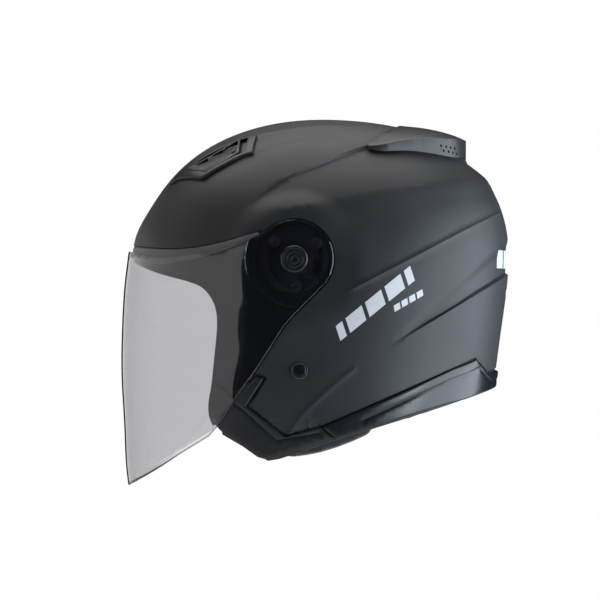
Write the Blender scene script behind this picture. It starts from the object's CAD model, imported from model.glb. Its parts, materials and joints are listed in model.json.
import json
from math import cos, hypot, pi, radians, sin

import bmesh
import bpy
import numpy as np
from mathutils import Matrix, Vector
from mathutils.geometry import delaunay_2d_cdt
from mathutils.kdtree import KDTree


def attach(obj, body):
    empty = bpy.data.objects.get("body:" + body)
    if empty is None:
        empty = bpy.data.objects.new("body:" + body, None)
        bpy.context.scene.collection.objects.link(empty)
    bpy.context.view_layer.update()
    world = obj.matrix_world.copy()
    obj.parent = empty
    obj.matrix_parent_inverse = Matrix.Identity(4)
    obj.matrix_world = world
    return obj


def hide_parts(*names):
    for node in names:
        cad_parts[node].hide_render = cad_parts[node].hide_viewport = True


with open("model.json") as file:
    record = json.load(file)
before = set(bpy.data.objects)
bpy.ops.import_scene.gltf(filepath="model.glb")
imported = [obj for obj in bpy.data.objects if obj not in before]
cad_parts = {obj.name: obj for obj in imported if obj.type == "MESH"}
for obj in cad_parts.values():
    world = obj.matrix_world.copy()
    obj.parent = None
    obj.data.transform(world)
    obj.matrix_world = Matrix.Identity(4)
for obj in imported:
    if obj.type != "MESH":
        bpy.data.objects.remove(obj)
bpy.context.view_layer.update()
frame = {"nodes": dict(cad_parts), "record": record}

# Open face motorcycle helmet. +X forward, +Y the wearer's left, +Z up, origin midway
# between the visor pivots. The form below works in millimetres and meshes are in metres.
MM = 0.001

# ---------------------------------------------------------------- the shell form
HALF_WIDTH, SIDE_POWER, CROWN_POWER = 122.0, 2.4, 2.1
CENTRE = (-15.0, -20.0)
PIVOT_Y, FLAT_R, BLEND_R = 118.3, 28.0, 52.0
SHELL_WALL, RECESS, TRIM_SEAT = 5.0, 2.0, 2.4
VISOR_GAP, VISOR_WALL = 1.2, 2.2
SOCKET_R, DISC_R, HUB_HOLE_R = 29.7, 28.6, 6.4
PROFILE = [
    (121.9, 5), (120.8, 13.2), (110.2, 36.5), (93.6, 60.3), (70.9, 80.8), (40.7, 96.1),
    (3, 104.8), (-30, 106), (-65, 102.8), (-95, 95.5), (-122, 81.5), (-143, 62),
    (-155.6, 39), (-161, 15), (-161, -12), (-156.3, -49.4), (-150, -95), (-135, -180),
    (-90, -290), (-15, -340), (60, -300), (106, -220), (122.5, -169), (125.4, -130),
    (127.2, -90), (126.7, -50), (124.4, -15),
]


def round_spline(points):
    """Closed smooth curve: radius about CENTRE as a function of angle."""
    rel = np.array(points, float) - CENTRE
    angle = np.arctan2(rel[:, 1], rel[:, 0]) % (2 * pi)
    radius = np.hypot(rel[:, 0], rel[:, 1])
    order = np.argsort(angle)
    angle, radius = angle[order], radius[order]
    n = len(angle)
    step = np.diff(np.append(angle, angle[0] + 2 * pi))
    left, right = np.zeros((n, n)), np.zeros(n)
    for i in range(n):
        j, k = (i + 1) % n, (i - 1) % n
        left[i, k] += step[k]
        left[i, i] += 2 * (step[k] + step[i])
        left[i, j] += step[i]
        right[i] = 6 * ((radius[j] - radius[i]) / step[i] - (radius[i] - radius[k]) / step[k])
    bend = np.linalg.solve(left, right)

    def value(a):
        a = (np.asarray(a) - angle[0]) % (2 * pi) + angle[0]
        i = np.clip(np.searchsorted(angle, a, side="right") - 1, 0, n - 1)
        j = (i + 1) % n
        t, h = a - angle[i], step[i]
        cubic = (bend[i] * (h - t) ** 3 + bend[j] * t ** 3) / (6 * h)
        return cubic + (radius[i] / h - bend[i] * h / 6) * (h - t) + (radius[j] / h - bend[j] * h / 6) * t

    return value


PROFILE_RADIUS = round_spline(PROFILE)


def fade(t):
    t = np.clip(t, 0, 1)
    return t * t * (3 - 2 * t)


def fullness(x, z, inset):
    dx, dz = x - CENTRE[0], z - CENTRE[1]
    return np.hypot(dx, dz) / np.maximum(PROFILE_RADIUS(np.arctan2(dz, dx)) - inset, 1)


def half_width(x, z, inset=0.0):
    free = (HALF_WIDTH - inset) * np.maximum(1 - fullness(x, z, inset) ** SIDE_POWER, 0) ** (1 / CROWN_POWER)
    share = fade((np.hypot(x, z) - FLAT_R) / (BLEND_R - FLAT_R))
    return share * free + (1 - share) * (PIVOT_Y - inset)


def outside(x, y, z, inset):
    level = fullness(x, z, inset) ** SIDE_POWER + (np.abs(y) / (HALF_WIDTH - inset)) ** CROWN_POWER - 1
    near_pivot = (np.hypot(x, z) < BLEND_R) & (np.abs(y) > 60)
    return np.where(near_pivot, np.abs(y) - half_width(x, z, inset), level)


# The left half of the form is mapped to a flat disc: distance from the disc's centre is
# the angle off the +Y axis, direction is the direction in the side view.
DISC = 120.0
NEAREST, FARTHEST, HALVINGS = 10.0, 420.0, 34


def to_disc(x, y, z):
    dx, dz = x - CENTRE[0], z - CENTRE[1]
    away = np.arctan2(np.hypot(dx, dz), y)
    turn = np.arctan2(dz, dx)
    return DISC * away * np.cos(turn), DISC * away * np.sin(turn)


def from_disc(u, v, inset):
    """Points of the form taken inwards by the inset (number or array)."""
    away = np.hypot(u, v) / DISC
    turn = np.arctan2(v, u)
    ray = np.stack([np.sin(away) * np.cos(turn), np.cos(away), np.sin(away) * np.sin(turn)], -1)
    near, far = np.full(away.shape, NEAREST), np.full(away.shape, FARTHEST)
    for _ in range(HALVINGS):
        middle = (near + far) / 2
        x = CENTRE[0] + ray[:, 0] * middle
        y = ray[:, 1] * middle
        z = CENTRE[1] + ray[:, 2] * middle
        out = outside(x, y, z, inset) > 0
        far, near = np.where(out, middle, far), np.where(out, near, middle)
    middle = (near + far) / 2
    return np.stack([CENTRE[0] + ray[:, 0] * middle, ray[:, 1] * middle, CENTRE[1] + ray[:, 2] * middle], -1)


SIDE_ENDS, ROUND_STARTS = 0.72, 0.85


def settle(place, uv, deep):
    """Points of the form taken inwards by the inset; on the sides they keep their X and Z."""
    radial = from_disc(uv[:, 0], uv[:, 1], deep)
    x, z = place[:, 0], place[:, 2]
    share = 1 - fade((fullness(x, z, 0.0) - SIDE_ENDS) / (ROUND_STARTS - SIDE_ENDS))
    side = np.stack([x, half_width(x, z, deep), z], -1)
    return radial + (side - radial) * share[:, None]


# ---------------------------------------------------------------- curves in the side view
def smooth_run(points, per=12):
    """Centripetal Catmull-Rom through the points."""
    p = np.array(points, float)
    p = np.vstack([2 * p[0] - p[1], p, 2 * p[-1] - p[-2]])
    out = []
    for i in range(1, len(p) - 2):
        a, b, c, d = p[i - 1], p[i], p[i + 1], p[i + 2]
        t1 = np.linalg.norm(b - a) ** 0.5
        t2 = t1 + np.linalg.norm(c - b) ** 0.5
        t3 = t2 + np.linalg.norm(d - c) ** 0.5
        for t in np.linspace(t1, t2, per, endpoint=False):
            a1 = (t1 - t) / t1 * a + t / t1 * b
            a2 = (t2 - t) / (t2 - t1) * b + (t - t1) / (t2 - t1) * c
            a3 = (t3 - t) / (t3 - t2) * c + (t - t2) / (t3 - t2) * d
            b1 = (t2 - t) / t2 * a1 + t / t2 * a2
            b2 = (t3 - t) / (t3 - t1) * a2 + (t - t1) / (t3 - t1) * a3
            out.append((t2 - t) / (t2 - t1) * b1 + (t - t1) / (t2 - t1) * b2)
    out.append(p[-2])
    return [tuple(q) for q in out]


def arc_run(radius, start, end, count=110):
    """An arc about the pivot axis, between two angles in degrees."""
    return [(radius * cos(radians(a)), radius * sin(radians(a))) for a in np.linspace(start, end, count)]


def chain(*runs):
    """Runs of points joined into one, without doubled points."""
    out = []
    for run in runs:
        for p in run:
            if not out or hypot(p[0] - out[-1][0], p[1] - out[-1][1]) > 1e-3:
                out.append((float(p[0]), float(p[1])))
    return out


def parallel(points, shift):
    """The same curve moved sideways, to its left."""
    p = np.array(points, float)
    step = np.diff(p, axis=0)
    ahead, behind = np.vstack([step, step[-1]]), np.vstack([step[0], step])
    ahead = ahead / np.maximum(np.linalg.norm(ahead, axis=1), 1e-9)[:, None]
    behind = behind / np.maximum(np.linalg.norm(behind, axis=1), 1e-9)[:, None]
    mid = ahead + behind
    mid = mid / np.maximum(np.linalg.norm(mid, axis=1), 1e-9)[:, None]
    spread = np.maximum((mid * ahead).sum(1), 0.45)
    normal = np.stack([-mid[:, 1], mid[:, 0]], -1) / spread[:, None]
    return [tuple(q) for q in p + normal * shift]


def within(x, z, ring):
    """Which points lie inside a closed ring."""
    inside = np.zeros(np.shape(x), bool)
    r = np.array(ring)
    for (xa, za), (xb, zb) in zip(r, np.roll(r, 1, 0)):
        if za != zb:
            inside ^= ((za > z) != (zb > z)) & (x < (xb - xa) * (z - za) / (zb - za) + xa)
    return inside


def distance(x, z, points, closed=False):
    """Distance to a polyline."""
    best = np.full(np.shape(x), 1e9)
    p = [tuple(q) for q in points]
    if closed:
        p.append(p[0])
    for (xa, za), (xb, zb) in zip(p, p[1:]):
        ex, ez = xb - xa, zb - za
        size = ex * ex + ez * ez
        if size < 1e-12:
            continue
        t = np.clip(((x - xa) * ex + (z - za) * ez) / size, 0, 1)
        best = np.minimum(best, np.hypot(x - xa - t * ex, z - za - t * ez))
    return best


def depth_in(x, z, ring):
    """Signed distance, positive inside the ring."""
    d = distance(x, z, ring, closed=True)
    return np.where(within(x, z, ring), d, -d)


# ---------------------------------------------------------------- meshing in the disc
SAMPLE = 0.15  # spacing of the points that a side-view curve is first cut into
STRAIGHT = 0.985  # cosine of the turn above which a point counts as part of a smooth run


def on_rim(point):
    """The point of the form's centre-plane outline in the direction of a point."""
    reach = 1.0 / fullness(point[0], point[2], 0.0)
    dx, dz = point[0] - CENTRE[0], point[2] - CENTRE[1]
    return np.array([CENTRE[0] + dx * reach, 0.0, CENTRE[1] + dz * reach])


def lift_run(points, step):
    """A side-view curve as disc points about one step apart; parts off the form are dropped."""
    p = np.array(points, float)
    dense, corners = [], {0}
    for a, b in zip(p, p[1:]):
        n = max(2, int(np.linalg.norm(b - a) / SAMPLE))
        dense.append(a + (b - a) * np.linspace(0, 1, n, endpoint=False)[:, None])
        corners.add(max(corners) + n)
    dense = np.vstack(dense + [p[-1:]])
    on = fullness(dense[:, 0], dense[:, 1], 0.0) <= 1.0
    y = np.where(on, half_width(dense[:, 0], dense[:, 1]), 0.0)
    place = np.stack([dense[:, 0], y, dense[:, 1]], -1)
    kept = set()
    for i in corners:
        a, b = dense[i] - dense[max(i - 3, 0)], dense[min(i + 3, len(dense) - 1)] - dense[i]
        na, nb = np.linalg.norm(a), np.linalg.norm(b)
        if na < 1e-9 or nb < 1e-9 or (a @ b) / (na * nb) < STRAIGHT:
            kept.add(i)
    runs, current, last = [], [], None
    for i in range(len(dense)):
        if not on[i]:
            if current:
                runs.append(current + [on_rim(place[i])])
                current = []
            continue
        if not current:
            current.append(on_rim(place[i - 1]) if i > 0 else place[i])
            last = current[-1]
        gap = np.linalg.norm(place[i] - last)
        if gap >= step or (i in kept and gap > 0.05):
            current.append(place[i])
            last = place[i]
    if current:
        if np.linalg.norm(place[-1] - current[-1]) > 1e-3:
            current.append(place[-1])
        runs.append(current)
    lifted = [np.array(run) for run in runs if len(run) > 1]
    return [np.stack(to_disc(q[:, 0], q[:, 1], q[:, 2]), -1) for q in lifted]


RIM_CIRCLE = DISC * pi / 2  # the centre plane, as a circle in the disc


def mesh_arrays(ring, lines, spacing, keep=None, whole=True):
    """Triangles of the part of the left half inside the ring, with the lines as edges.
    Returns disc points and faces."""
    points, edges = [], []

    def add_run(run):
        base = len(points)
        for u, v in run:
            points.append((float(u), float(v)))
        for i in range(len(run) - 1):
            edges.append((base + i, base + i + 1))

    for run in lift_run(list(ring) + [ring[0]], spacing * 0.8):
        add_run(run)
    for line, step in lines:
        for run in [line] if step is None else lift_run(line, step):
            add_run(run)
    if whole:
        count = int(2 * pi * RIM_CIRCLE / spacing)
        turns = [2 * pi * i / count for i in range(count)]
        circle = [(RIM_CIRCLE * cos(turn), RIM_CIRCLE * sin(turn)) for turn in turns]
        base = len(points)
        points.extend(circle)
        edges.extend((base + i, base + (i + 1) % count) for i in range(count))
    tree = KDTree(len(points))
    for i, (u, v) in enumerate(points):
        tree.insert((u, v, 0), i)
    tree.balance()
    fixed = np.array(points)
    lo, hi = fixed.min(0), fixed.max(0)
    row = 0
    v = lo[1]
    while v < hi[1]:
        u = lo[0] + (spacing / 2 if row % 2 else 0)
        while u < hi[0]:
            if u * u + v * v < (RIM_CIRCLE - spacing * 0.4) ** 2:
                if tree.find((u, v, 0))[2] > spacing * 0.55:
                    points.append((u, v))
            u += spacing
        v += spacing * 0.866
        row += 1
    vecs = [Vector(p) for p in points]
    verts, _, faces, _, _, _ = delaunay_2d_cdt(vecs, edges, [], 0, 1e-4)
    uv = np.array([(p.x, p.y) for p in verts])
    tri = np.array([f[:3] for f in faces if len(f) == 3])
    place = from_disc(uv[:, 0], uv[:, 1], 0.0)
    place[:, 1] = np.where(np.hypot(uv[:, 0], uv[:, 1]) > RIM_CIRCLE - 0.02, 0.0, place[:, 1])
    mid_disc = uv[tri].mean(1)
    mid = from_disc(mid_disc[:, 0], mid_disc[:, 1], 0.0)
    ok = within(mid[:, 0], mid[:, 2], ring) & (np.hypot(mid_disc[:, 0], mid_disc[:, 1]) < RIM_CIRCLE)
    if keep is not None:
        ok &= keep(mid[:, 0], mid[:, 1], mid[:, 2])
    return uv, tri[ok], place


def make_object(name, verts, faces, material, sharp):
    mesh = bpy.data.meshes.new(name)
    mesh.from_pydata([tuple(v) for v in verts], [], [tuple(f) for f in faces])
    mesh.update()
    obj = bpy.data.objects.new(name, mesh)
    bpy.context.scene.collection.objects.link(obj)
    mesh.materials.append(material)
    soften(obj, sharp)
    return obj


def soften(obj, angle):
    """Smooth shading, with edges steeper than the angle kept sharp."""
    for p in obj.data.polygons:
        p.use_smooth = True
    bm = bmesh.new()
    bm.from_mesh(obj.data)
    for e in bm.edges:
        e.smooth = not (len(e.link_faces) == 2 and e.calc_face_angle(0) > radians(angle))
    bm.to_mesh(obj.data)
    bm.free()


def skin(name, ring, lines, spacing, outer, inner, material, whole=True, side=1, sharp=35.0,
         keep=None, shape=None):
    """A curved sheet of the form between two insets (functions of x, y, z), closed at its rim."""
    uv, tri, place = mesh_arrays(ring, lines, spacing, keep, whole)
    used = np.unique(tri)
    index = np.full(len(uv), -1)
    index[used] = np.arange(len(used))
    tri, uv, place = index[tri], uv[used], place[used]
    on_plane = place[:, 1] < 1e-6
    levels = []
    for level in (outer, inner):
        deep = level(*place.T) if callable(level) else np.full(len(uv), float(level))
        p = settle(place, uv, deep)
        if shape and not levels:
            p = shape(p)
        p[:, 1] = np.where(on_plane, 0.0, p[:, 1])
        levels.append(p)
    a, b, c = (levels[0][tri[:, i]] for i in range(3))
    facing = (np.cross(b - a, c - a) * (a - np.array([CENTRE[0], 0, CENTRE[1]]))).sum(1).sum()
    if facing < 0:
        tri = tri[:, ::-1]
    n = len(uv)
    verts = np.vstack(levels)
    faces = [tuple(t) for t in tri] + [tuple(n + t[::-1]) for t in tri]
    count = {}
    for t in tri:
        for i in range(3):
            e = (t[i], t[(i + 1) % 3])
            key = (min(e), max(e))
            count[key] = None if key in count else e
    for e in count.values():
        if e is None:
            continue
        if whole and on_plane[e[0]] and on_plane[e[1]]:
            continue
        faces.append((e[1], e[0], n + e[0], n + e[1]))
    verts = verts * MM
    if side < 0:
        verts = verts * np.array([1, -1, 1])
        faces = [f[::-1] for f in faces]
    if whole:
        plane2 = np.concatenate([on_plane, on_plane])
        twin = np.arange(2 * n)
        extra = []
        for i in range(2 * n):
            if not plane2[i]:
                twin[i] = 2 * n + len(extra)
                extra.append(verts[i] * np.array([1, -1, 1]))
        faces = faces + [tuple(int(twin[i]) for i in f[::-1]) for f in faces]
        verts = np.vstack([verts, np.array(extra)])
    return make_object(name, verts, [[int(i) for i in f] for f in faces], material, sharp)


# ---------------------------------------------------------------- procedural finishes
def value_of(node, name, value):
    node.inputs[name].default_value = value


def finish_base(name):
    """An empty node material with its Principled shader and object coordinates."""
    mat = bpy.data.materials.new(name)
    mat.use_nodes = True
    nodes, links = mat.node_tree.nodes, mat.node_tree.links
    shader = nodes["Principled BSDF"]
    coords = nodes.new("ShaderNodeTexCoord").outputs["Object"]
    return mat, nodes, links, shader, coords


def noise_of(nodes, links, coords, scale, detail=3.0, rough=0.5):
    node = nodes.new("ShaderNodeTexNoise")
    value_of(node, "Scale", scale)
    value_of(node, "Detail", detail)
    value_of(node, "Roughness", rough)
    links.new(coords, node.inputs["Vector"])
    return node.outputs["Fac"]


def spread(nodes, links, source, low, high):
    node = nodes.new("ShaderNodeMapRange")
    value_of(node, "From Min", 0.3)
    value_of(node, "From Max", 0.7)
    value_of(node, "To Min", low)
    value_of(node, "To Max", high)
    links.new(source, node.inputs["Value"])
    return node.outputs["Result"]


def tinted(nodes, links, source, first, second):
    node = nodes.new("ShaderNodeMix")
    node.data_type = "RGBA"
    node.inputs[6].default_value = (*first, 1)
    node.inputs[7].default_value = (*second, 1)
    links.new(source, node.inputs[0])
    return node.outputs[2]


def bumped(nodes, links, height, distance, strength=1.0, under=None):
    node = nodes.new("ShaderNodeBump")
    value_of(node, "Distance", distance)
    value_of(node, "Strength", strength)
    links.new(height, node.inputs["Height"])
    if under is not None:
        links.new(under, node.inputs["Normal"])
    return node.outputs["Normal"]


def plastic(name, first, second, rough, grain=1400.0, depth=0.00003, metal=0.0):
    """Moulded or painted surface: broad tone change, fine grain in bump and roughness."""
    mat, nodes, links, shader, coords = finish_base(name)
    broad = noise_of(nodes, links, coords, 26.0, 4.0, 0.55)
    fine = noise_of(nodes, links, coords, grain, 2.0, 0.6)
    tone = tinted(nodes, links, spread(nodes, links, broad, 0.0, 1.0), first, second)
    links.new(tone, shader.inputs["Base Color"])
    mixed = nodes.new("ShaderNodeMath")
    mixed.operation = "ADD"
    links.new(spread(nodes, links, broad, rough * 0.92, rough * 1.06), mixed.inputs[0])
    links.new(spread(nodes, links, fine, -0.025, 0.025), mixed.inputs[1])
    links.new(mixed.outputs[0], shader.inputs["Roughness"])
    links.new(bumped(nodes, links, fine, depth, 0.6), shader.inputs["Normal"])
    value_of(shader, "Metallic", metal)
    return mat


def cloth(name, first, second, rough=0.9, scale=900.0, depth=0.00018, fuzz=0.25):
    """Knitted cloth: crossed ribs, tone mottle and soft sheen."""
    mat, nodes, links, shader, coords = finish_base(name)
    heights = []
    for turn in ((0.6, 0.3, 0.0), (0.0, 0.4, 1.57)):
        place = nodes.new("ShaderNodeMapping")
        place.inputs["Rotation"].default_value = turn
        links.new(coords, place.inputs["Vector"])
        wave = nodes.new("ShaderNodeTexWave")
        value_of(wave, "Scale", scale / 6.283)
        value_of(wave, "Distortion", 1.5)
        value_of(wave, "Detail", 1.0)
        links.new(place.outputs["Vector"], wave.inputs["Vector"])
        heights.append(wave.outputs["Fac"])
    both = nodes.new("ShaderNodeMath")
    both.operation = "MULTIPLY"
    links.new(heights[0], both.inputs[0])
    links.new(heights[1], both.inputs[1])
    mottle = noise_of(nodes, links, coords, 120.0, 5.0, 0.6)
    tone = tinted(nodes, links, spread(nodes, links, mottle, 0.0, 1.0), first, second)
    links.new(tone, shader.inputs["Base Color"])
    links.new(spread(nodes, links, mottle, rough * 0.93, rough), shader.inputs["Roughness"])
    low = bumped(nodes, links, mottle, depth * 1.5, 0.5)
    links.new(bumped(nodes, links, both.outputs[0], depth, 0.8, low), shader.inputs["Normal"])
    value_of(shader, "Sheen Weight", fuzz)
    value_of(shader, "Sheen Roughness", 0.5)
    value_of(shader, "Specular IOR Level", 0.25)
    return mat


def leatherette(name):
    """Embossed carbon-look trim cloth: small woven cells that turn shine in pairs."""
    mat, nodes, links, shader, coords = finish_base(name)
    place = nodes.new("ShaderNodeMapping")
    place.inputs["Rotation"].default_value = (0.0, 0.785, 0.0)
    place.inputs["Scale"].default_value = (420.0, 420.0, 420.0)
    links.new(coords, place.inputs["Vector"])
    cells = nodes.new("ShaderNodeTexChecker")
    value_of(cells, "Scale", 1.0)
    links.new(place.outputs["Vector"], cells.inputs["Vector"])
    fine = noise_of(nodes, links, coords, 700.0)
    tone = tinted(nodes, links, cells.outputs["Fac"], (0.012, 0.012, 0.014), (0.05, 0.05, 0.056))
    links.new(tone, shader.inputs["Base Color"])
    links.new(spread(nodes, links, cells.outputs["Fac"], 0.34, 0.55), shader.inputs["Roughness"])
    low = bumped(nodes, links, fine, 0.00006, 0.5)
    links.new(bumped(nodes, links, cells.outputs["Fac"], 0.00015, 0.5, low), shader.inputs["Normal"])
    return mat


def foam_beads(name):
    """Expanded bead foam: cells with thin dark joints."""
    mat, nodes, links, shader, coords = finish_base(name)
    cell = nodes.new("ShaderNodeTexVoronoi")
    value_of(cell, "Scale", 330.0)
    links.new(coords, cell.inputs["Vector"])
    broad = noise_of(nodes, links, coords, 60.0)
    tone = tinted(nodes, links, cell.outputs["Distance"], (0.055, 0.055, 0.058), (0.018, 0.018, 0.02))
    links.new(tone, shader.inputs["Base Color"])
    links.new(spread(nodes, links, broad, 0.7, 0.85), shader.inputs["Roughness"])
    links.new(bumped(nodes, links, cell.outputs["Distance"], -0.0004, 0.7), shader.inputs["Normal"])
    return mat


def clear_sheet(name, tint):
    """Hard-coated polycarbonate: clear, faintly tinted, lets lamp light through to what is behind."""
    mat, nodes, links, shader, coords = finish_base(name)
    haze = noise_of(nodes, links, coords, 40.0, 3.0)
    tone = tinted(nodes, links, haze, tint, tuple(c * 0.97 for c in tint))
    links.new(tone, shader.inputs["Base Color"])
    value_of(shader, "Roughness", 0.0)
    value_of(shader, "Transmission Weight", 1.0)
    value_of(shader, "IOR", 1.49)
    path = nodes.new("ShaderNodeLightPath")
    clear = nodes.new("ShaderNodeBsdfTransparent")
    clear.inputs["Color"].default_value = (*(c ** 0.5 for c in tint), 1)
    either = nodes.new("ShaderNodeMath")
    either.operation = "MAXIMUM"
    links.new(path.outputs["Is Shadow Ray"], either.inputs[0])
    links.new(path.outputs["Is Diffuse Ray"], either.inputs[1])
    mix = nodes.new("ShaderNodeMixShader")
    links.new(either.outputs[0], mix.inputs[0])
    links.new(shader.outputs[0], mix.inputs[1])
    links.new(clear.outputs[0], mix.inputs[2])
    links.new(mix.outputs[0], nodes["Material Output"].inputs["Surface"])
    return mat


SHELL = plastic("shell_matt_black", (0.016, 0.017, 0.020), (0.022, 0.023, 0.026), 0.52,
                grain=1800.0, depth=0.00002)
GLOSS = plastic("pivot_gloss_black", (0.004, 0.005, 0.008), (0.008, 0.010, 0.015), 0.16,
                grain=500.0, depth=0.000002)
TRIM = plastic("trim_black", (0.010, 0.010, 0.012), (0.017, 0.017, 0.020), 0.36,
               grain=1200.0, depth=0.00002)
SKIRT = plastic("rear_trim_black", (0.010, 0.011, 0.014), (0.016, 0.018, 0.022), 0.24,
                grain=900.0, depth=0.000012)
VENT = plastic("vent_black", (0.014, 0.014, 0.016), (0.022, 0.022, 0.025), 0.42,
               grain=1300.0, depth=0.00002)
RUBBER = plastic("edge_rubber", (0.020, 0.020, 0.021), (0.030, 0.030, 0.031), 0.6,
                 grain=1500.0, depth=0.00004)
SEAL = plastic("brow_seal_rubber", (0.09, 0.09, 0.095), (0.12, 0.12, 0.126), 0.45,
               grain=1500.0, depth=0.00003)
CAP = plastic("cap_grey", (0.012, 0.012, 0.014), (0.02, 0.02, 0.023), 0.26, grain=1500.0, depth=0.00003)
RIVET = plastic("rivet_black", (0.015, 0.015, 0.018), (0.03, 0.03, 0.034), 0.3,
                grain=900.0, depth=0.00002, metal=0.6)
STEEL = plastic("zinc_steel", (0.42, 0.43, 0.45), (0.55, 0.56, 0.58), 0.32,
                grain=1100.0, depth=0.00003, metal=1.0)
WIRE = plastic("vent_mesh_metal", (0.03, 0.03, 0.032), (0.06, 0.06, 0.063), 0.4, grain=900.0, metal=0.8)
DARK_STEEL = plastic("dark_screw_steel", (0.008, 0.008, 0.011), (0.014, 0.014, 0.018), 0.35,
                     grain=1000.0)
RING = plastic("rivet_ring_metal", (0.16, 0.165, 0.18), (0.24, 0.245, 0.26), 0.33,
               grain=1000.0, metal=0.9)
PIVOT = plastic("pivot_moulding", (0.004, 0.005, 0.010), (0.007, 0.009, 0.015), 0.24,
                grain=500.0, depth=0.000006)
STICKER = plastic("badge_red", (0.5, 0.015, 0.02), (0.6, 0.03, 0.03), 0.35, grain=900.0, depth=0.00001)
ACETAL = plastic("buckle_black", (0.016, 0.016, 0.017), (0.026, 0.026, 0.028), 0.45, grain=1300.0)
RED = plastic("lever_red", (0.32, 0.012, 0.012), (0.40, 0.02, 0.018), 0.4, grain=1300.0)
DECAL = plastic("decal_silver", (0.62, 0.65, 0.69), (0.72, 0.75, 0.78), 0.42, grain=900.0, depth=0.00001)
KNIT = cloth("knit_lining", (0.018, 0.018, 0.02), (0.045, 0.045, 0.05))
PLUSH = cloth("pad_knit", (0.014, 0.014, 0.016), (0.036, 0.036, 0.04), scale=700.0, depth=0.00025)
CARBON = leatherette("pad_leatherette")
WEBBING = cloth("strap_webbing", (0.010, 0.010, 0.011), (0.028, 0.028, 0.03),
                rough=0.75, scale=1500.0, fuzz=0.08)
FOAM = foam_beads("bead_foam")
CLEAR = clear_sheet("visor_clear", (0.73, 0.725, 0.745))

# ---------------------------------------------------------------- outlines in the side view (X, Z)
FACE_EDGE = [
    (160, 4), (124, 1), (118.8, -1.5), (101.6, -8.7), (76.8, -15.2), (66, -19.5), (60.5, -25),
    (56.2, -33), (54.4, -44), (56.5, -70.3), (58.8, -92.3), (60.8, -104.3), (60.3, -114), (57.5, -120.6),
]
RIM = [(53, -124), (19.6, -143), (11.1, -141.5), (-29.9, -127.8), (-81.1, -112.3), (-106.7, -104.8),
       (-143.2, -93.6), (-153, -90.5), (-200, -86)]
SHELL_RING = chain(smooth_run(FACE_EDGE, 5), RIM, [(-200, 150), (160, 150)])

RECESS_TOP = smooth_run([(160, 13.8), (115.8, 10.4), (106.8, 9.3), (90, 8.2), (73.7, 9.1), (57.7, 11.9),
                         (46.7, 14.6), (33.9, 18.4), (20.3, 21.8)], 8)
RECESS_SIDE = [(-21, -21), (1.5, -43.5), (5.9, -48.6), (27.5, -82.3), (40.9, -100.4), (55.3, -123),
               (60, -132)]
RECESS_RING = chain(RECESS_TOP, arc_run(SOCKET_R, 47, 225), RECESS_SIDE, [(160, -132)])

VISOR_TOP = smooth_run([(160, 8), (124.9, 6.8), (106.6, 2.4), (98.2, 1.5), (73.6, 3.6), (60.9, 6.7),
                        (46.7, 10.6), (33.9, 15.3), (20.9, 19.5)], 8)
VISOR_SIDE = [(-20.2, -20.2), (2.2, -42.6), (6.9, -48.2), (28.4, -81.8), (42, -100.2), (56.4, -122.6),
              (62, -129), (126.1, -169.1), (160, -190)]
VISOR_RING = chain(VISOR_TOP, arc_run(DISC_R, 43, 225), VISOR_SIDE)

CHEEK_TRIM_RING = [
    (57.9, -92.6), (52.8, -93.4), (44.4, -101.4), (28.1, -85.3), (22.2, -86.7), (35.2, -106.9),
    (6.9, -129.3), (-19.8, -122.1), (-29.4, -130.2), (11.1, -143.8), (19.6, -146), (26.6, -144),
    (54, -124.7), (56.5, -121.6), (59.3, -114.4), (59.7, -104.4),
]
SEAT_RING = [
    (58.2, -92.3), (52.6, -93.1), (44.5, -101), (28.2, -85), (21.7, -86.6), (34.7, -106.8), (6.7, -128.9),
    (-19.9, -121.8), (-29.9, -130.4), (11.1, -144.1), (19.6, -146.3), (26.8, -144.2), (54.2, -124.8),
    (57, -122), (60, -114.4), (60.4, -104.3),
]
SKIRT_RING = [
    (-20.8, -122.1), (-133.2, -73.7), (-142.9, -84.3), (-150, -82.6), (-200, -82), (-200, -92.6),
    (-151.9, -93.4), (-143.2, -96.2), (-106.7, -107.4), (-81.1, -114.9), (-30.6, -130.7),
]
SEAL_RING = chain(
    smooth_run([(160, 13.2), (115.8, 9.9), (106.8, 8.8), (90, 7.7), (73.7, 8.6), (57.7, 11.4), (46.7, 14.1),
                (33.9, 17.8), (27, 19.6)], 6),
    smooth_run([(25, 18.2), (33.9, 12.9), (46.7, 7.4), (60.9, 2.7), (73.6, -0.6), (98.2, -3.2), (106.6, -2.2),
                (124.9, 2), (160, 3)], 6),
)

SCOOP_UPPER = smooth_run([(36.8, 39.1), (26.1, 45.5), (10.4, 57.4), (-5.5, 65.5), (-18.8, 71.2),
                          (-39.5, 79.7), (-56, 84.5), (-80, 82.5), (-105, 80), (-131, 76), (-160, 73)], 6)
SCOOP_LOWER = [(-200, 58), (-143, 60.5), (-121.2, 58), (-101.8, 54.8), (-70.3, 50), (-43.7, 45.4),
               (-18.7, 39.4), (-1.6, 36.2), (18.1, 34.6), (36.4, 33.6)]
CHANNEL_UPPER = smooth_run([(-200, 17.8), (-161, 17), (-144.6, 5.7), (-121, -14.4), (-102.9, -29.8),
                            (-82.4, -48.7), (-60.8, -67.2), (-43.3, -79.8)], 6)
CHANNEL_LOWER = [(-43.3, -80), (-60.8, -69.2), (-76.9, -59.5), (-104.9, -43), (-126, -30.6),
                 (-159.9, -11), (-200, -8)]
FOLD = smooth_run([(-43.3, -80), (-30.6, -90.2), (-17.7, -101.6), (-6.2, -113.1), (4.5, -127)], 6)
RIDGE = [(-35.4, -25.5), (-91.5, 3.7), (-125, 21.3), (-153.2, 35.4)]
CROWN_BAND = smooth_run([(92, 56), (79.7, 67.1), (59, 79.5), (28.5, 92.1), (3.2, 96.9), (-19.1, 99.4),
                         (-44, 99.2)], 6)
CROWN_BAND_2 = smooth_run([(46, 70), (31.2, 78.2), (10.6, 86.4), (-19, 90.1), (-44, 90.6)], 6)

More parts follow.
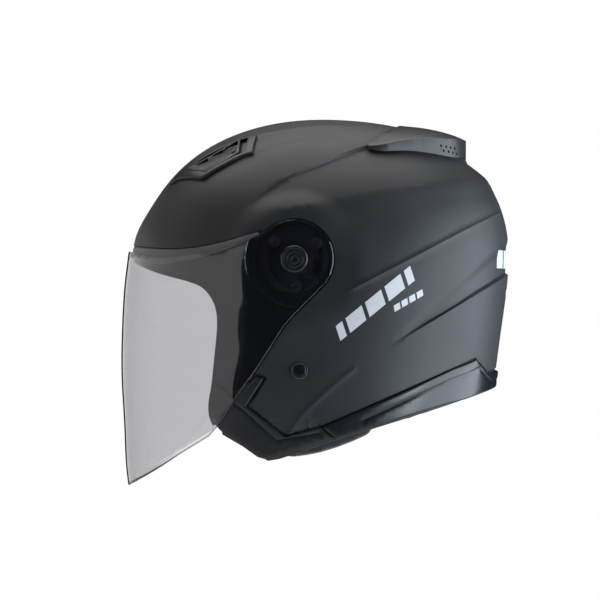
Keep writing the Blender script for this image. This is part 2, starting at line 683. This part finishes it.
VENT_AT = np.array([60.0, 59.0, 72.71])
VENT_OUT = np.array([0.48767, 0.43911, 0.75456])
VENT_BACK = np.array([-0.87291, 0.23112, 0.42965])
VENT_UP = np.cross(VENT_OUT, VENT_BACK)
VENT_WINDOW = [(-23.4, 7.0), (-6, -13.6), (-0.7, -13.5), (27.6, -8.2), (28.7, 14.1), (-23.4, 7.5)]
INTAKE_EDGE = [(-14, 4.5), (-8, -3), (20, 0), (21, 9)]


def vent_uv(p):
    rel = p - VENT_AT
    return rel @ VENT_BACK, rel @ VENT_UP, rel @ VENT_OUT


def cut_finely(ring, step):
    """The closed ring as points about one step apart, the first one not repeated."""
    closed = list(ring) + [ring[0]]
    return [(ua + (ub - ua) * i / n, va + (vb - va) * i / n) for (ua, va), (ub, vb) in zip(closed, closed[1:])
            for n in [max(1, int(hypot(ub - ua, vb - va) / step))] for i in range(n)]


def vent_line(ring):
    """A closed line of the vent plane as disc points."""
    q = np.array([VENT_AT + VENT_BACK * u + VENT_UP * v for u, v in cut_finely(ring, 0.8)])
    q = np.vstack([q, q[:1]])
    return np.stack(to_disc(q[:, 0], q[:, 1], q[:, 2]), -1)


# ---------------------------------------------------------------- outer shell
def ramp(value, width):
    """0 outside, 1 once the value has passed the width, smooth between."""
    return fade(value / width)


SKIRT_GROOVE = [(-20.0, -121.7), (-133.3, -73.0), (-143.0, -83.5), (-150, -81.9), (-200, -81.3)]
SCOOP_RING = chain(SCOOP_UPPER, SCOOP_LOWER)
CHANNEL_RING = chain(CHANNEL_UPPER, CHANNEL_LOWER)


def height_between(x, z, upper, lower):
    """1 on the upper line, 0 on the lower one."""
    up = np.array(sorted(upper))
    low = np.array(sorted(lower))
    top = np.interp(x, up[:, 0], up[:, 1])
    foot = np.interp(x, low[:, 0], low[:, 1])
    return np.clip((z - foot) / np.maximum(top - foot, 2.0), 0, 1)


# relief of the outer face in millimetres: sinks, drops and grooves go below the plain form
EDGE_SINK, DISH, DISH_R = 0.8, 0.7, 36.0
SCOOP_DROP, SCOOP_CREST, LOWER_CREST = 3.3, 1.0, 0.8
CHANNEL_DROP, RIDGE_RISE, FOLD_RISE, GROOVE = 2.3, 0.75, 0.55, 1.3


def band_rise(x, z, line, height, half, front):
    """A faint raised line on the crown that fades out at both ends."""
    run = np.array(sorted(line))
    under = np.interp(x, run[:, 0], run[:, 1]) - z
    reach = fade((front - x) / 20) * fade((x + 44) / 16)
    return height * (1 - fade(np.abs(under) / half)) * reach


def shell_depth(x, y, z):
    """How far the finished outer face lies below the plain form."""
    recess = depth_in(x, z, RECESS_RING)
    depth = RECESS * ramp(recess, 0.9)
    depth = depth + DISH * ramp(np.minimum(DISH_R - np.hypot(x, z), recess - 0.8), 0.7)
    depth = np.maximum(depth, TRIM_SEAT * ramp(depth_in(x, z, SEAT_RING) + 0.55, 0.4))
    in_scoop = within(x, z, SCOOP_RING)
    grow = fade((40 - x) / 62)
    scoop = grow * (SCOOP_DROP * height_between(x, z, SCOOP_UPPER, SCOOP_LOWER) - SCOOP_CREST)
    depth = depth + np.where(in_scoop, scoop * ramp(distance(x, z, SCOOP_UPPER), 2.4), 0.0)
    crest = LOWER_CREST * fade((20 - x) / 60) * (1 - fade(distance(x, z, SCOOP_LOWER) / 13)) * (z < 62)
    depth = depth - np.where(in_scoop | (recess > -1), 0.0, crest)
    inside = within(x, z, CHANNEL_RING) * fade((-52 - x) / 40)
    upper, lower = distance(x, z, CHANNEL_UPPER), distance(x, z, CHANNEL_LOWER)
    depth = depth + CHANNEL_DROP * inside * ramp(upper, 9.0) * ramp(lower, 1.8)
    depth = depth - RIDGE_RISE * (1 - fade(distance(x, z, RIDGE) / 1.7)) * fade((-33 - x) / 14)
    depth = depth - FOLD_RISE * (1 - fade(distance(x, z, FOLD) / 2.6))
    depth = depth - band_rise(x, z, CROWN_BAND, 0.55, 2.2, 92)
    depth = depth - band_rise(x, z, CROWN_BAND_2, 0.4, 2.0, 46)
    depth = depth + GROOVE * (1 - fade(distance(x, z, SKIRT_GROOVE) / 0.8))
    brow = np.clip(depth_in(x, z, SHELL_RING), 0, None)
    return depth + EDGE_SINK * (1 - fade(brow / 1.2)) * (recess < 0)


def shell_floor(p):
    """The seat of each vent slider is flat: points in the window move onto its plane."""
    u, v, w = vent_uv(p)
    deep = ramp(depth_in(u, v, VENT_WINDOW), 0.7) * (np.abs(w) < 12) * (p[:, 1] > 5)
    target = p - VENT_OUT * (w + 1.0)[:, None]
    lowered = np.where((w > -1.0)[:, None], target, p)
    return p + (lowered - p) * deep[:, None]


def not_intake(x, y, z):
    u, v, w = vent_uv(np.stack([x, y, z], -1))
    return ~(within(u, v, INTAKE_EDGE) & (np.abs(w) < 12) & (y > 5))


shell_lines = [(RECESS_RING + RECESS_RING[:1], 1.6), (SEAT_RING + SEAT_RING[:1], 1.5)]
shell_lines += [(parallel(RECESS_TOP, shift), 2.0) for shift in (-0.9, -0.45, 0.45, 0.9)]
shell_lines += [(arc_run(SOCKET_R - shift, 47, 225), 1.6) for shift in (0.45, 0.9)]
shell_lines += [(parallel(RECESS_SIDE, shift), 1.8) for shift in (0.45, 0.9)]
shell_lines += [(arc_run(r, -62, 30, 60), 1.6) for r in (DISH_R - 0.8, DISH_R)]
shell_lines += [(parallel(SEAT_RING + SEAT_RING[:1], shift), 1.6) for shift in (0.55, 0.15, -0.15)]
shell_lines += [(parallel(SKIRT_GROOVE, shift), 1.8) for shift in (-0.8, 0.0, 0.8)]
shell_lines += [(parallel(SCOOP_UPPER, shift), 2.0) for shift in (0, 1.2, 2.4)]
shell_lines += [(parallel(CHANNEL_LOWER, shift), 2.0) for shift in (0, -0.9, -1.8)]
shell_lines += [(SCOOP_LOWER, 2.4)]
shell_lines += [(parallel(RIDGE, shift), 2.2) for shift in (-1.7, -0.85, 0, 0.85, 1.7)]
shell_lines += [(parallel(FOLD, shift), 2.2) for shift in (-2.4, -1.2, 0, 1.2, 2.4)]
shell_lines += [(parallel(CROWN_BAND, shift), 2.4) for shift in (-2.2, -1.1, 0, 1.1, 2.2)]
shell_lines += [(parallel(CROWN_BAND_2, shift), 2.4) for shift in (-2, -1, 0, 1, 2)]
shell_lines += [(parallel(smooth_run(FACE_EDGE, 5), shift), 2.2) for shift in (0.6, 1.2)]
shell_lines += [(vent_line(ring), None) for ring in (VENT_WINDOW, INTAKE_EDGE)]


# ---------------------------------------------------------------- printed marks: plain slanted bars
def bars(start, along, height, lean, sizes, gap):
    """Parallelograms one after another along a line; each is a closed ring."""
    run = Vector(along).normalized()
    rise = Vector((-run.y, run.x)) * height + run * lean
    rings, at = [], 0.0
    for size in sizes:
        a = Vector(start) + run * at
        b = a + run * size
        rings.append([tuple(a), tuple(b), tuple(b + rise), tuple(a + rise)])
        at += size + gap
    return rings


SIDE_MARKS = bars((-33.5, -59.5), (-58.5, 47.4), -10.5, 4.0, (6, 15, 15, 15, 6), 3.2)
SIDE_MARKS += bars((-73.0, -38.5), (-25.6, 14.6), -4.4, 1.6, (5, 5, 5, 5), 1.4)
REAR_MARKS = bars((-47.5, -6), (1, 0), 13.5, 0.0, (16, 26, 26, 16), 3.67)
REAR_MARKS += bars((-17.9, -26), (1, 0), 4.5, 0.0, (7, 7, 7, 7), 2.6)
BROW_MARKS = [[(-7, 28.5), (7, 28.5), (8.5, 37.5), (-8.5, 37.5)],
              [(-4.5, 30.5), (4.5, 30.5), (5.6, 35.5), (-5.6, 35.5)]]


def facing_line(ring, sign):
    """A closed ring in Y, Z seen along X, as disc points on the left half of the form."""
    flat = np.array(cut_finely(ring, 1.5))
    y, z = np.abs(flat[:, 0]), flat[:, 1]
    near, far = np.zeros(len(y)), np.full(len(y), 200.0)
    for _ in range(30):
        middle = (near + far) / 2
        out = outside(CENTRE[0] + sign * middle, y, z, 0.0) > 0
        far, near = np.where(out, middle, far), np.where(out, near, middle)
    line = np.stack(to_disc(CENTRE[0] + sign * near, y, z), -1)
    return np.vstack([line, line[:1]])


shell_lines += [(ring + ring[:1], 1.2) for ring in SIDE_MARKS]
shell_lines += [(facing_line(ring, -1), None) for ring in REAR_MARKS]
shell_lines += [(facing_line(ring, 1), None) for ring in BROW_MARKS]


# ---------------------------------------------------------------- copies of the CAD hardware
BODIES = frame["record"]["behaviour"]["bodies"]


def body_of(node):
    return next((body for body, members in BODIES.items() if node in members), "helmet")


def apply_modifiers(obj):
    bpy.context.view_layer.update()
    view = obj.evaluated_get(bpy.context.evaluated_depsgraph_get())
    mesh = bpy.data.meshes.new_from_object(view)
    obj.modifiers.clear()
    obj.data = mesh


def copy_of(node, material, bevel=0.0, segments=2):
    """A shown twin of a CAD node with its edges eased; it rides and stands in for the node."""
    source = frame["nodes"][node]
    mesh = source.data.copy()
    mesh.materials.clear()
    mesh.materials.append(material)
    bm = bmesh.new()
    bm.from_mesh(mesh)
    bmesh.ops.remove_doubles(bm, verts=bm.verts, dist=0.000005)
    bmesh.ops.dissolve_limit(bm, angle_limit=radians(1.0), verts=bm.verts, edges=bm.edges)
    bm.to_mesh(mesh)
    bm.free()
    obj = bpy.data.objects.new("look_" + node, mesh)
    bpy.context.scene.collection.objects.link(obj)
    if bevel:
        ease = obj.modifiers.new("ease", "BEVEL")
        ease.width = bevel * MM
        ease.segments = segments
        ease.limit_method = "ANGLE"
        ease.angle_limit = radians(40.0)
        apply_modifiers(obj)
    soften(obj, 30.0)
    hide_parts(node)
    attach(obj, body_of(node))
    return obj


# ---------------------------------------------------------------- shell, trims and visor
shell = skin("look_outer_shell", SHELL_RING, shell_lines, 2.6, shell_depth, SHELL_WALL, SHELL, sharp=30.0,
             keep=not_intake, shape=shell_floor)
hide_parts("outer_shell")
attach(shell, "helmet")

# the recess that the visor turns in is polished, the marks are printed, the rest is matt
POLISHED, PRINTED, BADGE = 1, 2, 3
for extra in (GLOSS, DECAL, STICKER):
    shell.data.materials.append(extra)
count = len(shell.data.polygons)
middles, facings = np.empty(count * 3), np.empty(count * 3)
shell.data.polygons.foreach_get("center", middles)
shell.data.polygons.foreach_get("normal", facings)
middles, facings = middles.reshape(-1, 3) / MM, facings.reshape(-1, 3)
outer = (middles * facings).sum(1) > 0
finish = np.zeros(count, np.int32)
finish[outer & within(middles[:, 0], middles[:, 2], RECESS_RING)] = POLISHED
for ring in SIDE_MARKS:
    finish[outer & within(middles[:, 0], middles[:, 2], ring)] = PRINTED
plain = from_disc(*to_disc(middles[:, 0], np.abs(middles[:, 1]), middles[:, 2]), 0.0)
plain[:, 1] *= np.sign(middles[:, 1])
for ring in REAR_MARKS:
    finish[outer & (plain[:, 0] < -60) & within(plain[:, 1], plain[:, 2], ring)] = PRINTED
for index, ring in zip((PRINTED, BADGE), BROW_MARKS):
    finish[outer & (plain[:, 0] > 60) & within(plain[:, 1], plain[:, 2], ring)] = index
shell.data.polygons.foreach_set("material_index", finish)


def visor_level(level, inwards):
    """Rounded rim: each face moves towards the other over the last millimetre."""
    def depth(x, y, z):
        edge = np.clip(depth_in(x, z, VISOR_RING), 0, None)
        return level + inwards * 0.55 * (1 - ramp(edge, 0.8))
    return depth


visor_lines = [(parallel(VISOR_TOP, shift), 1.4) for shift in (-0.4, -0.8, -1.2)]
visor_lines += [(arc_run(DISC_R - shift, 43, 225), 1.0) for shift in (0.4, 0.8, 1.2)]
visor_lines += [(parallel(VISOR_SIDE, shift), 1.4) for shift in (0.4, 0.8, 1.2)]
visor_lines += [(arc_run(HUB_HOLE_R, 0, 360, 40), 1.0)]
visor = skin("look_visor", VISOR_RING, visor_lines, 3.2, visor_level(-VISOR_GAP - VISOR_WALL, 1),
             visor_level(-VISOR_GAP, -1), CLEAR, keep=lambda x, y, z: np.hypot(x, z) > HUB_HOLE_R)
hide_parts("visor")
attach(visor, "visor")


TRIM_LINE = [(43.2, -105.5), (36.6, -109.8), (12.6, -131.5), (-17.8, -126.2)]


def cheek_trim_depth(x, y, z):
    edge = np.clip(depth_in(x, z, CHEEK_TRIM_RING), 0, None)
    return -0.6 + 0.7 * (1 - ramp(edge, 1.0)) + 0.5 * (1 - ramp(distance(x, z, TRIM_LINE), 1.0))


trim_lines = [(parallel(TRIM_LINE, shift), 1.6) for shift in (-1.0, -0.5, 0, 0.5, 1.0)]
trim_lines += [(parallel(CHEEK_TRIM_RING + CHEEK_TRIM_RING[:1], shift), 1.6)
               for shift in (-0.5, -1.0, 0.5, 1.0)]
for side, word in ((1, "left"), (-1, "right")):
    trim = skin("look_cheek_trim_" + word, CHEEK_TRIM_RING, trim_lines, 1.8, cheek_trim_depth,
                TRIM_SEAT - 0.2, TRIM, whole=False, side=side)
    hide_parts("cheek_trim_" + word)
    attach(trim, "helmet")

FACET = [(-50, -117), (-135.5, -79.3), (-144.5, -89.8), (-152, -88.5), (-170, -88)]


def skirt_depth(x, y, z):
    edge = np.clip(depth_in(x, z, SKIRT_RING), 0, None)
    return -2.2 + 0.45 * (1 - ramp(edge, 1.0)) + 0.55 * (1 - ramp(distance(x, z, FACET), 1.6))


skirt_lines = [(parallel(FACET, shift), 1.8) for shift in (-1.6, -0.8, 0, 0.8, 1.6)]
skirt_lines += [(parallel(SKIRT_RING + SKIRT_RING[:1], shift), 1.8) for shift in (-0.7, -1.4, 0.7, 1.4)]
skirt = skin("look_rear_skirt", SKIRT_RING, skirt_lines, 2.2, skirt_depth, -0.2, SKIRT)
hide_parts("rear_skirt_trim")
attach(skirt, "helmet")


def seal_depth(x, y, z):
    edge = np.clip(depth_in(x, z, SEAL_RING), 0, None)
    return -0.1 + 0.8 * (1 - ramp(edge, 1.2))


seal_lines = [(parallel(SEAL_RING + SEAL_RING[:1], shift), 1.6) for shift in (0.6, 1.2, -0.6, -1.2)]
seal = skin("look_brow_seal", SEAL_RING, seal_lines, 2.0, seal_depth, RECESS - 0.2, SEAL)
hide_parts("brow_seal")
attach(seal, "helmet")

# bead along the edge of the face opening
EDGE_RUN = smooth_run(FACE_EDGE[1:], 5)
BEAD_RING = chain([(160, 3)], [(x + 1.5, z - 0.9) for x, z in EDGE_RUN],
                  [(x - 2.2, z + 1.4) for x, z in EDGE_RUN[::-1]], [(160, 7)])


def bead_depth(x, y, z):
    edge = np.clip(depth_in(x, z, BEAD_RING), 0, None)
    return 1.7 + 0.8 * (1 - ramp(edge, 0.9))


bead_lines = [([(x + shift, z - shift * 0.6) for x, z in EDGE_RUN], 1.2)
              for shift in (-1.5, -0.9, -0.3, 0.3, 0.9)]
bead = skin("look_face_trim", BEAD_RING, bead_lines, 1.4, bead_depth, 5.8, TRIM)
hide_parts("face_trim")
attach(bead, "helmet")

# ---------------------------------------------------------------- hardware
SIDED = [  # node without its side, finish, bevel in millimetres, record slot
    ("pivot_base_", PIVOT, 0.45, "pivot_plastic"),
    ("detent_arc_", PIVOT, 0.35, "pivot_plastic"),
    ("pivot_cap_", CAP, 0.25, "pivot_cap_grey"),
    ("vent_bezel_", VENT, 0.5, "vent_black"),
    ("vent_slider_", VENT, 0.25, "vent_black"),
    ("vent_mesh_", WIRE, 0.0, "mesh_metal"),
    ("strap_rivet_", RIVET, 0.3, "rivet_black"),
    ("rivet_washer_", RING, 0.2, "rivet_black"),
    ("strap_anchor_", STEEL, 0.3, "steel"),
    ("chin_strap_", WEBBING, 0.4, "webbing"),
    ("strap_sleeve_", KNIT, 0.9, "lining_cloth"),
]
SINGLE = [
    ("pivot_screws", DARK_STEEL, 0.25, "steel"),
    ("rear_spoiler", VENT, 0.8, "vent_black"),
    ("buckle_body", STEEL, 0.4, "steel"),
    ("buckle_pin", STEEL, 0.3, "steel"),
    ("buckle_lever", RED, 0.5, "lever_red"),
    ("ratchet_tongue", ACETAL, 0.25, "buckle_plastic"),
]
for side in ("left", "right"):
    for node, surface, bevel, slot in SIDED:
        copy_of(node + side, surface, bevel)
for node, surface, bevel, slot in SINGLE:
    copy_of(node, surface, bevel)
copy_of("lower_edge_rubber", RUBBER, 0.8, 3)
copy_of("eps_liner", FOAM, 1.0)


# ---------------------------------------------------------------- stuffed pieces
CLOTH_PRESSURE, CLOTH_FRAMES = 4.0, 20


def stuffed(node, material, voxel, seams, backing, reach):
    """A pad sewn in panels: its backing and seams stay put, the cloth between them swells."""
    source = frame["nodes"][node]
    obj = bpy.data.objects.new("look_" + node, source.data.copy())
    bpy.context.scene.collection.objects.link(obj)
    obj.data.materials.clear()
    remesh = obj.modifiers.new("remesh", "REMESH")
    remesh.mode = "VOXEL"
    remesh.voxel_size = voxel * MM
    calm = obj.modifiers.new("calm", "SMOOTH")
    calm.factor, calm.iterations = 0.5, 3
    apply_modifiers(obj)
    mesh = obj.data
    n = len(mesh.vertices)
    rest, normal = np.empty(n * 3), np.empty(n * 3)
    mesh.vertices.foreach_get("co", rest)
    mesh.vertices.foreach_get("normal", normal)
    rest, normal = rest.reshape(-1, 3), normal.reshape(-1, 3)
    mm = rest / MM
    back = backing(mm, normal)
    seam = np.full(n, 1e9)
    for line in seams:
        seam = np.minimum(seam, np.abs(line(mm)))
    groove = (1 - ramp(seam, voxel * 1.1)) * ~back
    rest = rest - normal * (groove * 1.6 + ~back * 0.8)[:, None] * MM
    mesh.vertices.foreach_set("co", rest.ravel())
    mesh.update()
    pins = obj.vertex_groups.new(name="held")
    pins.add([int(i) for i in np.where(back | (seam < voxel * 0.6))[0]], 1.0, "REPLACE")
    sim = obj.modifiers.new("sim", "CLOTH")
    sim.settings.quality = 6
    sim.settings.vertex_group_mass = "held"
    sim.settings.use_pressure = True
    sim.settings.uniform_pressure_force = CLOTH_PRESSURE
    sim.settings.tension_stiffness = 12
    sim.settings.compression_stiffness = 8
    sim.settings.bending_stiffness = 0.4
    sim.settings.effector_weights.gravity = 0
    sim.point_cache.frame_start, sim.point_cache.frame_end = 1, CLOTH_FRAMES
    for frame_number in range(1, CLOTH_FRAMES + 1):
        bpy.context.scene.frame_set(frame_number)
    apply_modifiers(obj)
    bpy.context.scene.frame_set(1)
    moved = np.empty(n * 3)
    obj.data.vertices.foreach_get("co", moved)
    step = moved.reshape(-1, 3) - rest
    size = np.linalg.norm(step, axis=1)
    step *= (np.minimum(size, reach * MM) / np.maximum(size, 1e-9))[:, None]
    obj.data.vertices.foreach_set("co", (rest + step).ravel())
    fine = obj.modifiers.new("fine", "SUBSURF")
    fine.levels = fine.render_levels = 1
    apply_modifiers(obj)
    obj.data.materials.clear()
    obj.data.materials.append(material)
    soften(obj, 80.0)
    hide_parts(node)
    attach(obj, "helmet")
    return obj


def away_from_head(mm, normal):
    to_middle = np.array([CENTRE[0], 0, CENTRE[1]]) - mm
    to_middle /= np.linalg.norm(to_middle, axis=1)[:, None]
    return (to_middle * normal).sum(1) < 0.35


crown = stuffed("crown_liner", KNIT, 4.5, [
    lambda p: np.abs(p[:, 1]) - 28, lambda p: p[:, 0] + 78, lambda p: p[:, 0] + 30, lambda p: p[:, 0] - 18,
    lambda p: p[:, 2] + 8], away_from_head, reach=5.0)
for side in ("left", "right"):
    pad = stuffed("cheek_pad_" + side, PLUSH, 4.0, [
        lambda p: p[:, 2] + 88 - 0.4 * p[:, 0], lambda p: np.hypot(p[:, 0] + 8, (p[:, 2] + 95)) - 38],
        lambda p, normal: (np.abs(p[:, 1]) > 96) | (p[:, 2] < -134), reach=7.0)
roll = stuffed("neck_roll", CARBON, 4.0, [lambda p: np.abs(p[:, 1]) - 40, lambda p: p[:, 1]],
               lambda p, normal: half_width(p[:, 0], p[:, 2], 14.0) < np.abs(p[:, 1]), reach=5.0)


# ---------------------------------------------------------------- studio
def emitter(name, centre, look_at, wide, tall, power, color=(1, 1, 1)):
    data = bpy.data.lights.new(name, "AREA")
    data.shape = "RECTANGLE"
    data.size, data.size_y = wide, tall
    data.energy = power
    data.color = color
    lamp = bpy.data.objects.new(name, data)
    lamp.location = centre
    lamp.rotation_euler = (Vector(look_at) - Vector(centre)).to_track_quat("-Z", "Y").to_euler()
    bpy.context.scene.collection.objects.link(lamp)
    return lamp


TARGET = (-0.0042, 0.0, -0.0298)
emitter("top_softbox", (0.05, -0.25, 1.45), TARGET, 1.8, 1.8, 24, (1.0, 0.98, 0.95))
emitter("rear_softbox", (-1.47, 0.22, -0.22), TARGET, 2.1, 2.0, 60, (0.80, 0.90, 1.0))
emitter("front_panel", (1.3, -0.8, 0.0), (0.0, -0.8, 0.0), 6.0, 1.2, 16.0)
emitter("low_rear_fill", (-1.3, 1.3, -0.32), TARGET, 0.9, 0.5, 5, (0.80, 0.90, 1.0))
emitter("brow_light", (0.8, -0.5, 1.15), TARGET, 0.8, 0.6, 1.5)

bpy.ops.mesh.primitive_plane_add(size=3.2, location=(0, 0, -0.62))
floor = bpy.context.object
floor.name = "studio_floor"
pale = plastic("studio_pale", (0.62, 0.62, 0.62), (0.66, 0.66, 0.66), 0.8, grain=60.0, depth=0.00001)
glow = pale.node_tree.nodes["Principled BSDF"]
value_of(glow, "Emission Color", (0.94, 0.97, 1.0, 1))
value_of(glow, "Emission Strength", 0.12)
floor.data.materials.append(pale)

world = bpy.data.worlds.new("studio")
bpy.context.scene.world = world
world.use_nodes = True
tree = world.node_tree
sky = tree.nodes["Background"]
sky.inputs["Color"].default_value = (1, 1, 1, 1)
path = tree.nodes.new("ShaderNodeLightPath")


def joined(kind, first, second):
    node = tree.nodes.new("ShaderNodeMath")
    node.operation = kind
    for socket, source in zip(node.inputs, (first, second)):
        if isinstance(source, float):
            socket.default_value = source
        else:
            tree.links.new(source, socket)
    return node.outputs[0]


# the backdrop is white where it is seen straight on or through the visor, and dim for everything else
turned = joined("ADD", path.outputs["Glossy Depth"], path.outputs["Diffuse Depth"])
through = joined("MULTIPLY", path.outputs["Is Transmission Ray"], joined("LESS_THAN", turned, 0.5))
seen = joined("MAXIMUM", path.outputs["Is Camera Ray"], through)
level = tree.nodes.new("ShaderNodeMapRange")
level.inputs["To Min"].default_value = 0.06
level.inputs["To Max"].default_value = 1.0
tree.links.new(seen, level.inputs["Value"])
tree.links.new(level.outputs["Result"], sky.inputs["Strength"])
world.cycles_visibility.glossy = False

camera = bpy.data.cameras.new("camera")
camera.lens = 238.4
camera.sensor_width = 36.0
camera.clip_end = 50
eye = bpy.data.objects.new("camera", camera)
eye.location = (TARGET[0], 3.0, TARGET[2])
eye.rotation_euler = (pi / 2, 0, pi)
bpy.context.scene.collection.objects.link(eye)
bpy.context.scene.camera = eye
bpy.context.scene.view_settings.view_transform = "Standard"
